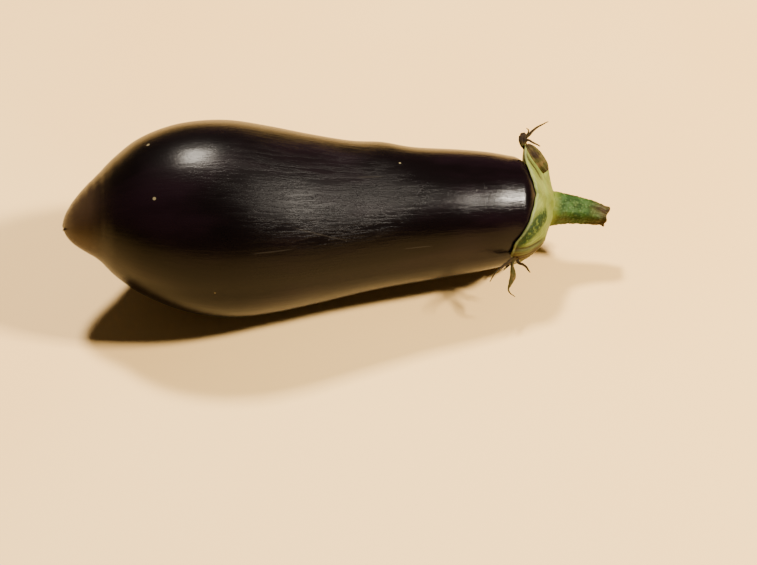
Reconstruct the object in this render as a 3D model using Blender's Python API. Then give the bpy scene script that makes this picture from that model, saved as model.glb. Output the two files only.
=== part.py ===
"""An eggplant as picked, lying on its side.

Three pieces: the glossy fruit, the green calyx that caps its shoulder, and the warty stalk. All sizes are
in millimetres here and are written to the meshes in metres. The long axis runs from the blossom end at -X
to the stalk at +X, dipping towards the stalk because the neck is thinner than the belly. The origin is on
the small flat spot under the belly, where the fruit lies. A direction round the axis is an angle from
straight up, turning towards -Y, the side that faces the viewer.
"""
import math

import bpy
import numpy as np

MM = 0.001

# The fruit: radius against distance from the blossom end, both in millimetres
FRUIT_LENGTH = 204.5
OUTLINE = ((1.4, 4.4), (4.5, 8.9), (9.0, 13.3), (15.0, 18.6), (22.0, 25.2), (32.0, 32.4), (45.0, 37.9),
           (58.0, 40.7), (72.0, 41.3), (88.0, 39.3), (106.0, 35.7), (125.0, 32.5), (142.0, 30.1),
           (165.0, 27.7), (180.0, 25.6))
SHOULDER_START = 190.0
SHOULDER_RADIUS = 23.7
SHOULDER_POINTS = 5

# How far the middle line strays from a straight axis, against distance from the blossom end
DRIFT = ((0.0, -1.2), (12.0, 1.2), (32.0, 1.8), (60.0, 0.9), (100.0, -0.6), (140.0, 0.0), (205.0, 1.4))
DRIFT_DIRECTION = -44.0

# How it lies
TILT = math.radians(5.5)
REST_STATION = 92.0
SPOT_DEPTH = 0.6
SAG = 2.6
SAG_STATION = 109.0
SAG_LENGTH = 17.0
SAG_SPREAD = 38.0

# Unevenness of the skin
FLUTES = 5
FLUTE_DEPTH = 0.22
FLUTE_TURN = 0.8
SWELL_DEPTH = 0.35
SWELL_TWISTS = (9.0, 17.0)
SMALL_SWELL = 0.6
HUMP_HEIGHT = 1.3
HUMP_STATION = 136.0
HUMP_LENGTH = 9.0
HUMP_DIRECTION = -44.0
HUMP_SPREAD = 30.0
CREASE_DEPTH = 1.0
CREASE_STATION = 15.0
CREASE_LENGTH = 4.5
CREASE_DIRECTION = 125.0
CREASE_SPREAD = 70.0
FADE_POWER = 0.5

# Mesh steps
FRUIT_SIDES = 48
FRUIT_RINGS = 50
CALYX_SIDES = 90
CALYX_STEPS = 8
STALK_SIDES = 24
STALK_RINGS = 18
TIP_SIDES = 8
HEIGHT_SAMPLES = 400
PATH_SAMPLES = 600
TIP_RINGS_PER_POINT = 4

# The calyx: lobe directions in degrees, and distances along the skin from the middle of the shoulder
LOBES = {"raised": -44.0, "front": 96.0, "under_front": 156.0, "under_back": 206.0, "back": 264.0}
LOBE_REACH = {"raised": 30.0, "front": 34.5, "under_front": 31.0, "under_back": 32.0, "back": 35.0}
LOBE_PAD = {"raised": 4.9, "front": 1.2, "under_front": 0.6, "under_back": 0.6, "back": 1.2}
PAD_DISTANCE = 12.5
PAD_LENGTH = 7.5
PAD_SPREAD = 23.0
SINUS_REACH = 19.5
LOBE_POINT = 0.85
TIP_ROUNDING = 0.065
MARGIN_WAVE = 0.2
MARGIN_WAVES = 23
CLEARANCE = 0.35
CAP_THICKNESS = 3.0
MARGIN_THICKNESS = 0.9
THINNING = 1.6
KEEL_HEIGHT = 1.1
KEEL_WIDTH = 7.0
KEEL_START = 0.35
KEEL_RISE = 0.3
KEEL_END = 0.12
SEAT_RADIUS = 7.6
SEAT_HEIGHT = 4.9
SEAT_SLOPE = 1.2
SEAT_SLOPE_DIRECTION = -44.0
FLARE_REACH = 13.0
INNER_SEAT = 0.5
SLOPE_STEP = 0.5

# The raised lobe leaves the skin and stands straight out from this distance on
RAISED_START = 8.0
RAISED_DIRECTION = (-0.32, 0.947)
RAISED_SPREAD = 23.0
RAISED_SPREAD_BEHIND = 32.0
RAISED_OFFSET = 0.4
TIP_LIFT = 1.0
TIP_LIFT_START = 0.7
TIP_BACK_STEP = 2.0
TIP_OVERRUN = 0.3

# The stalk
STALK_GAP = 0.3
STALK_LENGTH = 24.3
STALK_BASE_RADIUS = 7.2
STALK_END_RADIUS = 4.3
STALK_TAPER = 0.9
FOOT_FLARE = 0.8
FOOT_FLARE_FADE = 9.0
STALK_BEND = 4.6
STALK_BEND_DIRECTION = 108.0
STALK_FLUTES = 5
STALK_FLUTE_DEPTH = 0.35
STALK_FLUTE_TURN = 0.5
WART_HEIGHT = 0.32
WARTS_ROUND = 11
WARTS_ALONG = 7.5
WART_TWIST = 2.2
END_SHRINK = 0.5
END_SHRINK_AT = 0.93
END_SHRINK_LENGTH = 0.05
END_RAGGED = 0.4
END_RAGGED_POWER = 8
END_RAGGED_TURN = 1.0
END_HOLLOW = 0.8
RIM_SCALE = 0.8
RIM_SINK = 0.1
HOLLOW_SCALE = 0.5

AXIS = np.array([math.cos(TILT), 0.0, -math.sin(TILT)])
OVER = np.array([math.sin(TILT), 0.0, math.cos(TILT)])
FRONT = np.array([0.0, -1.0, 0.0])

# Unevenness fades out below this radius, so that it closes smoothly at the two ends
CALM_RADIUS = 10.0
CUTTER_HALF = 130.0
CUTTER_DEPTH = 20.0

COLOURS = {
    "fruit": (0.012, 0.006, 0.010),
    "calyx": (0.250, 0.330, 0.095),
    "stem": (0.110, 0.210, 0.045),
}
ROUGHNESS = {"fruit": 0.16, "calyx": 0.55, "stem": 0.60}


def hermite(knots, values, at):
    """Reads a smooth curve through the values; it never overshoots between two knots."""
    knots = np.asarray(knots, float)
    values = np.asarray(values, float)
    step = np.diff(knots)
    slope = np.diff(values) / step
    tangent = np.zeros(len(knots))
    tangent[0], tangent[-1] = slope[0], slope[-1]
    for i in range(1, len(knots) - 1):
        if slope[i - 1] * slope[i] > 0:
            near = step[i - 1] + 2 * step[i]
            far = 2 * step[i - 1] + step[i]
            tangent[i] = (near + far) / (near / slope[i] + far / slope[i - 1])
    at = np.clip(at, knots[0], knots[-1])
    i = np.clip(np.searchsorted(knots, at, side="right") - 1, 0, len(step) - 1)
    t = (at - knots[i]) / step[i]
    return ((1 + 2 * t) * (1 - t) ** 2 * values[i] + t * (1 - t) ** 2 * step[i] * tangent[i]
            + t * t * (3 - 2 * t) * values[i + 1] + t * t * (t - 1) * step[i] * tangent[i + 1])


def through(points, count):
    """Evenly spaced points on a smooth curve through the given points, in any number of dimensions."""
    points = np.asarray(points, float)
    chord = np.concatenate([[0], np.cumsum(np.linalg.norm(np.diff(points, axis=0), axis=1))])
    padded = np.vstack([2 * points[0] - points[1], points, 2 * points[-1] - points[-2]])
    out = []
    for d in np.linspace(0, chord[-1], count):
        i = min(int(np.searchsorted(chord, d, side="right")) - 1, len(points) - 2)
        t = (d - chord[i]) / (chord[i + 1] - chord[i])
        a, b, c, e = padded[i:i + 4]
        out.append(0.5 * (2 * b + (c - a) * t + (2 * a - 5 * b + 4 * c - e) * t * t
                          + (3 * b - a - 3 * c + e) * t ** 3))
    return np.array(out)


def near_angle(theta, centre):
    """Signed difference of two directions in degrees, between -180 and 180."""
    return (theta - centre + 180.0) % 360.0 - 180.0


def bell(distance, width):
    return np.exp(-(distance / width) ** 2)


def profile():
    """The fruit's half outline as (station, radius) points, from the blossom end to the stalk end."""
    depth = FRUIT_LENGTH - SHOULDER_START
    turn = np.linspace(0.0, math.pi / 2, SHOULDER_POINTS + 1)
    shoulder = np.stack([SHOULDER_START + depth * np.sin(turn), SHOULDER_RADIUS * np.cos(turn)], axis=1)
    return np.vstack([[0.0, 0.0], OUTLINE, shoulder])


def drift(station):
    stations, offsets = zip(*DRIFT)
    return hermite(stations, offsets, station)


def unevenness(station, theta):
    """How far the skin stands out from the plain turned shape."""
    along = station / FRUIT_LENGTH
    fade = np.sin(math.pi * np.clip(along, 0, 1)) ** FADE_POWER
    angle = np.radians(theta)
    flutes = FLUTE_DEPTH * np.cos(FLUTES * angle + FLUTE_TURN) * fade
    swell = SWELL_DEPTH * fade * (np.sin(2 * angle + SWELL_TWISTS[0] * along)
                                  + SMALL_SWELL * np.sin(3 * angle - SWELL_TWISTS[1] * along))
    hump = (HUMP_HEIGHT * bell(station - HUMP_STATION, HUMP_LENGTH)
            * bell(near_angle(theta, HUMP_DIRECTION), HUMP_SPREAD))
    crease = (CREASE_DEPTH * bell(station - CREASE_STATION, CREASE_LENGTH)
              * bell(near_angle(theta, CREASE_DIRECTION), CREASE_SPREAD))
    sag = (SAG * bell(station - SAG_STATION, SAG_LENGTH)
           * bell(near_angle(theta, 180.0), SAG_SPREAD))
    return flutes + swell + hump - crease + sag


def radial(theta):
    angle = math.radians(theta)
    return math.cos(angle) * OVER + math.sin(angle) * FRONT


def axis_height():
    """Height of the axis over the resting station, so that the lowest skin dips by the depth of the spot."""
    points = through(profile(), HEIGHT_SAMPLES)
    under = points[:, 1] + unevenness(points[:, 0], 180.0) - drift(points[:, 0]) * np.dot(
        radial(DRIFT_DIRECTION), OVER)
    drop = under * math.cos(TILT) + (points[:, 0] - REST_STATION) * math.sin(TILT)
    return drop.max() - SPOT_DEPTH


AXIS_HEIGHT = axis_height()


def place(station, radius, theta):
    """The world point at a station, a radius and a direction round the strayed axis."""
    middle = (station - REST_STATION) * AXIS + np.array([0.0, 0.0, AXIS_HEIGHT])
    return middle + drift(station) * radial(DRIFT_DIRECTION) + radius * radial(theta)


def loft(rings, start, end):
    """A closed skin over rings of points, closed by a fan to a point at each end."""
    sides = len(rings[0])
    verts = [start] + [p for ring in rings for p in ring] + [end]
    faces = [(0, 1 + (k + 1) % sides, 1 + k) for k in range(sides)]
    for r in range(len(rings) - 1):
        low, high = 1 + r * sides, 1 + (r + 1) * sides
        for k in range(sides):
            n = (k + 1) % sides
            faces.append((low + k, low + n, high + n))
            faces.append((low + k, high + n, high + k))
    last, tip = 1 + (len(rings) - 1) * sides, len(verts) - 1
    faces += [(last + k, last + (k + 1) % sides, tip) for k in range(sides)]
    return np.array(verts), faces


def material(name):
    mat = bpy.data.materials.new(name)
    mat.use_nodes = True
    shader = mat.node_tree.nodes["Principled BSDF"]
    shader.inputs["Base Color"].default_value = (*COLOURS[name], 1.0)
    shader.inputs["Roughness"].default_value = ROUGHNESS[name]
    shader.inputs["Metallic"].default_value = 0.0
    return mat


def new_object(name, verts, faces, mat=None):
    mesh = bpy.data.meshes.new(name)
    mesh.from_pydata([tuple(MM * v) for v in verts], [], faces)
    if mat:
        mesh.materials.append(mat)
    mesh.shade_smooth()
    obj = bpy.data.objects.new(name, mesh)
    bpy.context.scene.collection.objects.link(obj)
    return obj


def apply_boolean(obj, operation, cutter=None, collection=None):
    """Joins or cuts the object in place by the exact solver."""
    mod = obj.modifiers.new(operation.lower(), "BOOLEAN")
    mod.operation = operation
    mod.solver = "EXACT"
    if collection:
        mod.operand_type = "COLLECTION"
        mod.collection = collection
    else:
        mod.object = cutter
    depsgraph = bpy.context.evaluated_depsgraph_get()
    result = bpy.data.meshes.new_from_object(obj.evaluated_get(depsgraph))
    obj.modifiers.clear()
    obj.data = result


def directions(sides):
    return np.arange(sides) * 360.0 / sides


def lump(station, radius, theta):
    return unevenness(station, theta) * min(1.0, radius / CALM_RADIUS)


def skin_ring(station, radius):
    """One ring of the fruit's skin."""
    return [place(station, radius + lump(station, radius, theta), theta) for theta in directions(FRUIT_SIDES)]


def make_fruit():
    """The fruit is lofted through rings and then cut level where it lies."""
    points = through(profile(), FRUIT_RINGS)
    rings = [skin_ring(s, r) for s, r in points[1:-1]]
    verts, faces = loft(rings, place(0.0, 0.0, 0.0), place(FRUIT_LENGTH, 0.0, 0.0))
    fruit = new_object("fruit", verts, faces, material("fruit"))
    both = (-CUTTER_HALF, CUTTER_HALF)
    box = [np.array([x, y, z]) for z in (-CUTTER_DEPTH, 0.0) for y in both for x in both]
    sides = [(0, 2, 3, 1), (4, 5, 7, 6), (0, 1, 5, 4), (1, 3, 7, 5), (3, 2, 6, 7), (2, 0, 4, 6)]
    floor = new_object("floor_cutter", box, sides)
    apply_boolean(fruit, "DIFFERENCE", cutter=floor)
    bpy.data.objects.remove(floor)
    return fruit


def shoulder_path():
    """Points of the outline from the middle of the shoulder outwards, with the distance along the skin."""
    points = through(profile(), PATH_SAMPLES)[::-1]
    length = np.concatenate([[0], np.cumsum(np.linalg.norm(np.diff(points, axis=0), axis=1))])
    return length, points


PATH_LENGTH, PATH_POINTS = shoulder_path()


def on_skin(distance):
    """Station, radius and outward normal at a distance along the skin from the middle of the shoulder."""
    read = [np.interp(distance, PATH_LENGTH, PATH_POINTS[:, k]) for k in (0, 1)]
    ahead = [np.interp(distance + SLOPE_STEP, PATH_LENGTH, PATH_POINTS[:, k]) for k in (0, 1)]
    along = np.array(ahead) - np.array(read)
    along /= np.linalg.norm(along)
    return np.array(read), np.array([along[1], -along[0]])


def lobe_share(theta):
    """The nearest lobe's name and how far this direction is from its middle, 1 at the sinus."""
    names = list(LOBES)
    gaps = {n: near_angle(theta, LOBES[n]) for n in names}
    name = min(names, key=lambda n: abs(gaps[n]))
    gap = gaps[name]
    others = [near_angle(LOBES[n], LOBES[name]) for n in names if n != name]
    same_side = [abs(o) for o in others if o * gap > 0 or gap == 0]
    return name, abs(gap) / (min(same_side) / 2)


def margin(theta):
    """Distance of the calyx's edge along the skin in a direction: long at a lobe, short at a sinus."""
    name, share = lobe_share(theta)
    rounded = min(1.0, math.hypot(share, TIP_ROUNDING))
    wave = MARGIN_WAVE * math.sin(math.radians(theta) * MARGIN_WAVES) * share
    return SINUS_REACH + (LOBE_REACH[name] - SINUS_REACH) * (1 - rounded ** LOBE_POINT) + wave


def calyx_point(distance, height, theta):
    """A point of the calyx: over the skin, or over the straight path of the raised lobe near it."""
    (station, radius), normal = on_skin(distance)
    spot = np.array([station, radius]) + height * normal
    turn = near_angle(theta, LOBES["raised"])
    away = bell(turn, RAISED_SPREAD if turn > 0 else RAISED_SPREAD_BEHIND)
    if distance > RAISED_START:
        root, _ = on_skin(RAISED_START)
        direction = np.array(RAISED_DIRECTION)
        side = np.array([direction[1], -direction[0]])
        raised = root + (distance - RAISED_START) * direction + (height + RAISED_OFFSET) * side
        spot = (1 - away) * spot + away * raised
    return place(spot[0], spot[1] + lump(spot[0], spot[1], theta), theta)


def lift(share_out, theta):
    """Lobes come slightly off the skin towards their tips."""
    onward = max(0.0, (share_out - TIP_LIFT_START) / (1 - TIP_LIFT_START))
    return TIP_LIFT * onward ** 2 * max(0.0, 1 - lobe_share(theta)[1])


def seat_height(share_of_radius, theta):
    """The seat of the stalk slopes: it stands further out on one side."""
    slope = SEAT_SLOPE * math.cos(math.radians(theta - SEAT_SLOPE_DIRECTION))
    return SEAT_HEIGHT + slope * share_of_radius


def thickness(distance, theta):
    """Thick at the middle, thin at the edge, with a keel along each lobe."""
    edge = margin(theta)
    share_out = distance / edge
    body = MARGIN_THICKNESS + (CAP_THICKNESS - MARGIN_THICKNESS) * (1 - share_out ** THINNING)
    name, _ = lobe_share(theta)
    (_, radius), _ = on_skin(distance)
    sideways = math.radians(abs(near_angle(theta, LOBES[name]))) * radius
    fade = min(1.0, max(0.0, (share_out - KEEL_START) / KEEL_RISE)) * min(1.0, (1 - share_out) / KEEL_END)
    keel = KEEL_HEIGHT * max(0.0, 1 - sideways / (KEEL_WIDTH / 2)) * fade
    flare = seat_height(1.0, theta) * bell(max(0.0, distance - SEAT_RADIUS), FLARE_REACH - SEAT_RADIUS)
    pad = LOBE_PAD[name] * bell(distance - PAD_DISTANCE, PAD_LENGTH)
    pad *= bell(near_angle(theta, LOBES[name]), PAD_SPREAD)
    return max(body, flare) + keel + pad


def calyx_ring(share_out, outer):
    ring = []
    for theta in directions(CALYX_SIDES):
        distance = share_out * margin(theta)
        height = CLEARANCE + lift(share_out, theta)
        if outer:
            height += thickness(distance, theta)
        ring.append(calyx_point(distance, height, theta))
    return ring


def seat_ring(share):
    start = FRUIT_LENGTH + CLEARANCE
    return [place(start + seat_height(share, theta), share * SEAT_RADIUS, theta)
            for theta in directions(CALYX_SIDES)]


def spindle(path, widths, depths, flat):
    """A tapering leaflet or thread along a path, wide across it and thin along the direction flat."""
    count = TIP_RINGS_PER_POINT * len(path) - 2
    line = through(path, count)
    across = np.linspace(0, 1, len(widths))
    place_along = np.linspace(0, 1, count)
    half_width = np.interp(place_along, across, widths) / 2
    half_depth = np.interp(place_along, across, depths) / 2
    rings = []
    for i, p in enumerate(line):
        forward = line[min(i + 1, count - 1)] - line[max(i - 1, 0)]
        forward /= np.linalg.norm(forward)
        wide = np.cross(forward, flat)
        wide /= np.linalg.norm(wide)
        deep = np.cross(wide, forward)
        turn = np.arange(TIP_SIDES) * 2 * math.pi / TIP_SIDES
        rings.append([p + half_width[i] * math.cos(t) * wide + half_depth[i] * math.sin(t) * deep
                      for t in turn])
    start = line[0] - TIP_OVERRUN * (line[1] - line[0])
    end = line[-1] + TIP_OVERRUN * (line[-1] - line[-2])
    return loft(rings, start, end)


def lobe_frame(name):
    """The tip of a lobe with three directions: out from the fruit, on along the lobe, and sideways."""
    theta = LOBES[name]
    reach = margin(theta)
    height = CLEARANCE + TIP_LIFT + MARGIN_THICKNESS / 2
    tip = calyx_point(reach, height, theta)
    before = calyx_point(reach - TIP_BACK_STEP, height, theta)
    onward = (tip - before) / np.linalg.norm(tip - before)
    sideways = np.cross(AXIS, radial(theta))
    out = np.cross(sideways, onward)
    if np.dot(out, AXIS + radial(theta)) < 0:
        out = -out
    return tip, out, onward, sideways


# Dry ends of each lobe: points out, on and sideways from the lobe's tip, with widths and depths
DRY_ENDS = {
    "raised": (
        (((-0.2, -1.3, 2.4), (0.4, -3.8, 3.8), (1.3, -7.2, 4.8), (2.2, -10.8, 5.4), (3.2, -14.4, 5.6)),
         (3.0, 4.6, 5.6, 6.0, 6.0, 3.8), (2.6, 4.4, 5.5, 5.9, 5.6, 3.4)),
        (((-0.6, -1.8, 0.4), (-0.9, 0.2, 0.9), (-0.4, 2.2, 1.1), (0.2, 3.5, 1.0), (0.4, 4.6, 0.9)),
         (2.4, 2.6, 3.4, 3.6, 2.0), (2.4, 2.8, 3.6, 3.6, 2.0)),
        (((0.2, 2.4, 1.2), (1.1, 2.4, 1.8), (2.5, 2.8, 2.0), (4.3, 3.8, 2.0), (7.4, 4.7, 2.0),
          (9.9, 5.1, 2.0), (12.6, 5.2, 2.0)),
         (1.5, 1.3, 1.1, 0.9, 0.7), (1.4, 1.2, 1.0, 0.9, 0.7)),
        (((0.0, 0.6, 1.4), (1.2, 0.9, 2.4), (2.4, -0.5, 3.0), (3.8, -1.9, 3.0), (5.2, -3.3, 3.0)),
         (1.4, 1.2, 0.9, 0.7), (1.2, 1.1, 0.9, 0.7)),
        (((0.4, 3.0, 1.2), (1.8, 3.2, 1.8), (2.7, 4.1, 2.0), (3.1, 4.9, 2.0), (2.5, 6.0, 2.0)),
         (1.4, 1.1, 0.9, 0.7), (1.2, 1.0, 0.9, 0.7)),
    ),
    "front": (
        (((-0.2, -3.2, 1.5), (0.4, -1.6, 2.2), (1.9, -0.3, 2.8), (4.4, 0.3, 3.9), (6.6, 0.8, 5.2),
          (8.8, 2.5, 6.7), (10.6, 4.0, 7.8), (12.2, 3.7, 9.0), (13.4, 1.6, 10.7)),
         (1.8, 1.6, 1.4, 2.4, 2.7, 2.0, 0.9, 0.7, 0.7), (0.9, 1.0, 0.9, 0.8, 0.8, 0.8, 0.7, 0.7, 0.7)),
        (((0.0, -2.4, 0.8), (0.6, -0.6, 1.7), (1.6, 1.8, 2.4), (2.8, 4.2, 1.9), (4.6, 7.5, 1.4),
          (6.4, 10.2, 2.1), (8.0, 12.2, 3.6)),
         (1.6, 2.0, 2.2, 1.8, 1.0, 0.8, 0.7), (0.9, 1.2, 1.3, 1.1, 0.8, 0.7, 0.7)),
        (((-0.6, -3.9, 2.2), (0.4, -3.5, 2.9), (1.8, -3.7, 3.7), (3.2, -4.9, 3.3), (4.6, -6.3, 4.1),
          (6.0, -7.6, 6.2)),
         (1.3, 1.4, 1.3, 1.2, 1.0, 0.7), (0.9, 1.0, 1.0, 0.9, 0.8, 0.7)),
    ),
    "under_front": (
        (((-0.1, -2.4, 0.0), (0.6, 0.6, 0.3), (0.9, 2.8, 0.8), (0.6, 5.0, 1.6)),
         (1.6, 2.0, 1.4, 0.7), (1.0, 0.9, 0.8, 0.7)),
        (((-0.1, -2.6, -0.6), (0.7, -0.4, -1.8), (1.0, 1.4, -3.6)),
         (1.4, 1.0, 0.7), (1.0, 0.8, 0.7)),
    ),
    "under_back": (
        (((-0.1, -2.4, 0.0), (0.6, 0.8, -0.4), (0.9, 3.6, -1.4), (0.5, 6.0, -1.2)),
         (1.6, 2.2, 1.4, 0.7), (1.0, 0.9, 0.8, 0.7)),
    ),
    "back": (
        (((-0.2, -2.8, 0.0), (1.4, 0.0, -0.6), (3.0, 3.0, -0.8), (2.8, 6.4, 0.2), (4.2, 9.0, 1.2)),
         (1.8, 2.2, 2.4, 1.4, 0.7), (1.0, 0.9, 0.8, 0.8, 0.7)),
        (((-0.2, -3.0, 0.8), (1.8, -1.4, 2.8), (3.4, 0.4, 5.0)),
         (1.5, 1.0, 0.7), (1.1, 0.9, 0.7)),
    ),
}


def make_dry_ends():
    """The withered leaflets and threads, each rooted inside its lobe."""
    collection = bpy.data.collections.new("dry_ends")
    bpy.context.scene.collection.children.link(collection)
    for name, ends in DRY_ENDS.items():
        tip, out, onward, sideways = lobe_frame(name)
        for path, widths, depths in ends:
            world = [tip + a * out + b * onward + c * sideways for a, b, c in path]
            outward = abs(path[-1][0] - path[0][0]) > abs(path[-1][1] - path[0][1])
            verts, faces = spindle(world, widths, depths, sideways if outward else out)
            end = new_object("dry_end", verts, faces)
            bpy.context.scene.collection.objects.unlink(end)
            collection.objects.link(end)
    return collection


def make_calyx():
    """Two sheets meet at the lobed edge; the outer one rises to the seat of the stalk."""
    shares = np.linspace(0, 1, CALYX_STEPS + 1)[1:]
    inner = [calyx_ring(share, False) for share in shares]
    outer = [calyx_ring(share, True) for share in shares[::-1] if share * SINUS_REACH > SEAT_RADIUS]
    seat = [seat_ring(1.0), seat_ring(INNER_SEAT)]
    bottom = place(FRUIT_LENGTH + CLEARANCE, 0.0, 0.0)
    top = place(FRUIT_LENGTH + CLEARANCE + SEAT_HEIGHT, 0.0, 0.0)
    verts, faces = loft(inner + outer + seat, bottom, top)
    calyx = new_object("calyx", verts, faces, material("calyx"))
    dry_ends = make_dry_ends()
    apply_boolean(calyx, "UNION", collection=dry_ends)
    for end in list(dry_ends.objects):
        bpy.data.objects.remove(end)
    bpy.data.collections.remove(dry_ends)
    return calyx


def stalk_radius(share, theta):
    """A tapering stalk with shallow flutes and staggered warts, narrowed at its dried end."""
    angle = math.radians(theta)
    taper = STALK_BASE_RADIUS + (STALK_END_RADIUS - STALK_BASE_RADIUS) * share ** STALK_TAPER
    flare = FOOT_FLARE * math.exp(-share * FOOT_FLARE_FADE)
    flutes = STALK_FLUTE_DEPTH * math.cos(STALK_FLUTES * angle + STALK_FLUTE_TURN)
    stagger = math.sin(WARTS_ALONG * 2 * math.pi * share)
    warts = WART_HEIGHT * math.sin(WARTS_ROUND * angle + WART_TWIST * share) * stagger * (1 - share)
    shrink = END_SHRINK * bell(share - END_SHRINK_AT, END_SHRINK_LENGTH)
    return taper + flare + flutes + warts - shrink


def stalk_ring(share, scale=1.0, sink=0.0):
    start = FRUIT_LENGTH + CLEARANCE + SEAT_HEIGHT + STALK_GAP
    bend = STALK_BEND * share ** 2 * radial(STALK_BEND_DIRECTION)
    lean = 2 * STALK_BEND * share / STALK_LENGTH
    ring = []
    for theta in directions(STALK_SIDES):
        radius = stalk_radius(share, theta) * scale
        shear = lean * radius * math.cos(math.radians(theta - STALK_BEND_DIRECTION))
        slope = (seat_height(radius / SEAT_RADIUS, theta) - SEAT_HEIGHT) * (1 - share)
        wave = math.sin(math.radians(theta) * STALK_FLUTES + END_RAGGED_TURN)
        ragged = END_RAGGED * share ** END_RAGGED_POWER * wave
        along = STALK_LENGTH * share - shear + slope + ragged - sink
        ring.append(place(start, 0.0, 0.0) + along * AXIS + bend + radius * radial(theta))
    return ring


def make_stem():
    """The stalk is lofted from its seat to its cut end, which is slightly hollow."""
    rings = [stalk_ring(share) for share in np.linspace(0, 1, STALK_RINGS)]
    rim = stalk_ring(1.0, scale=RIM_SCALE, sink=RIM_SINK)
    hollow = stalk_ring(1.0, scale=HOLLOW_SCALE, sink=END_HOLLOW)
    foot = np.mean(rings[0], axis=0)
    middle = np.mean(hollow, axis=0)
    verts, faces = loft(rings + [rim, hollow], foot, middle)
    return new_object("stem", verts, faces, material("stem"))


def main():
    for obj in list(bpy.data.objects):
        bpy.data.objects.remove(obj)
    make_fruit()
    make_calyx()
    make_stem()


main()
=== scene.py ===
# %% [markdown]
# # An eggplant, grown in cells
# A plain solid model of an eggplant is the frame of this lesson. It fixes where the fruit lies and how
# large it is. The cells below give it what the eye looks for: a deep gloss over near-black skin, a ribbed
# green cap with withered tips, and a warty stalk. All the shapes come from a few measured sizes in
# millimetres, so they can be changed and run again.

# %% Load the frame
import math

import bpy
import numpy as np
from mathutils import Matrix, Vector, noise


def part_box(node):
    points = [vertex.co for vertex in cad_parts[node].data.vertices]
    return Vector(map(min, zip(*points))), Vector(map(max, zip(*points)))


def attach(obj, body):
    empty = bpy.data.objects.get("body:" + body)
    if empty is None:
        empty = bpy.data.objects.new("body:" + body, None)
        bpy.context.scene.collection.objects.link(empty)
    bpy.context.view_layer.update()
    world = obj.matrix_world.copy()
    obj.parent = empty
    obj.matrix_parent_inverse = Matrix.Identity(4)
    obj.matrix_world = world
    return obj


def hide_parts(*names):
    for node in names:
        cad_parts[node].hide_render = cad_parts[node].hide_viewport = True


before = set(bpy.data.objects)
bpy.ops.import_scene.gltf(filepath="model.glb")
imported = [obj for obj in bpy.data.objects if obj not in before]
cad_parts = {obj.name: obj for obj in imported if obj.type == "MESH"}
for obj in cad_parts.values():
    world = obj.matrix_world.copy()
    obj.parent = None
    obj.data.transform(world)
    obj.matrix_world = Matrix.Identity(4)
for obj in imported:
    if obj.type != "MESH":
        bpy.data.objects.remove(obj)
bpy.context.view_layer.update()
MM = 0.001
print("solids in the frame:", sorted(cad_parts))

# %% [markdown]
# ## The outline of the fruit
# The fruit is almost a turned shape: a pear with a small nipple where the flower sat. One half outline,
# radius against distance from the blossom end, says most of it. A smooth curve runs through the points, so
# that no flat facets show in the gloss.

# %% Sizes of the fruit
FRUIT_LENGTH = 204.5
OUTLINE = ((1.4, 4.4), (4.5, 8.9), (9.0, 13.3), (15.0, 18.6), (22.0, 25.2), (32.0, 32.4), (45.0, 37.9),
           (58.0, 40.7), (72.0, 41.3), (88.0, 39.3), (106.0, 35.7), (125.0, 32.5), (142.0, 30.1),
           (165.0, 27.7), (180.0, 25.6))
SHOULDER_START = 190.0
SHOULDER_RADIUS = 23.7
SHOULDER_POINTS = 5


def lengths(points):
    """How far each point is along a path, in straight pieces."""
    return np.concatenate([[0], np.cumsum(np.linalg.norm(np.diff(points, axis=0), axis=1))])


def through(points, count):
    """Evenly spaced points on a smooth curve through the given points, in any number of dimensions."""
    points = np.asarray(points, float)
    chord = lengths(points)
    padded = np.vstack([2 * points[0] - points[1], points, 2 * points[-1] - points[-2]])
    d = np.linspace(0, chord[-1], count)
    i = np.clip(np.searchsorted(chord, d, side="right") - 1, 0, len(points) - 2)
    t = ((d - chord[i]) / (chord[i + 1] - chord[i]))[:, None]
    a, b, c, e = (padded[i + k] for k in range(4))
    return 0.5 * (2 * b + (c - a) * t + (2 * a - 5 * b + 4 * c - e) * t * t
                  + (3 * b - a - 3 * c + e) * t ** 3)


def profile():
    """The half outline as (station, radius) points, from the blossom end to the stalk end."""
    turn = np.linspace(0.0, math.pi / 2, SHOULDER_POINTS + 1)
    depth = FRUIT_LENGTH - SHOULDER_START
    shoulder = np.stack([SHOULDER_START + depth * np.sin(turn), SHOULDER_RADIUS * np.cos(turn)], axis=1)
    return np.vstack([[0.0, 0.0], OUTLINE, shoulder])


print("outline points:", len(profile()))

# %% [markdown]
# ## How it lies, and how it strays from a turned shape
# A real fruit isn't turned. Its middle line bends a little, five shallow flutes run along it, the belly
# sags where it rests, and there is a crease under the nipple and a hump with an old scar at the back.
# Each of these is one small term with a name, added to the radius.

# %% Unevenness and placing
DRIFT = ((0.0, -1.2), (12.0, 1.2), (32.0, 1.8), (60.0, 0.9), (100.0, -0.6), (140.0, 0.0), (205.0, 1.4))
DRIFT_DIRECTION = -44.0
TILT = math.radians(5.5)
REST_STATION = 92.0
FLUTES, FLUTE_DEPTH, FLUTE_TURN = 5, 0.22, 0.8
SWELL_DEPTH, SWELL_TWISTS, SMALL_SWELL = 0.35, (9.0, 17.0), 0.6
CALM_RADIUS = 10.0
# Spots: station, length, direction and spread; each starts with how far it stands out
HUMP = (1.3, 136.0, 9.0, -44.0, 30.0)
CREASE = (-1.0, 15.0, 4.5, 125.0, 70.0)
SAG = (2.6, 109.0, 17.0, 180.0, 38.0)
AXIS = np.array([math.cos(TILT), 0.0, -math.sin(TILT)])
OVER = np.array([math.sin(TILT), 0.0, math.cos(TILT)])
FRONT = np.array([0.0, -1.0, 0.0])


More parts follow.
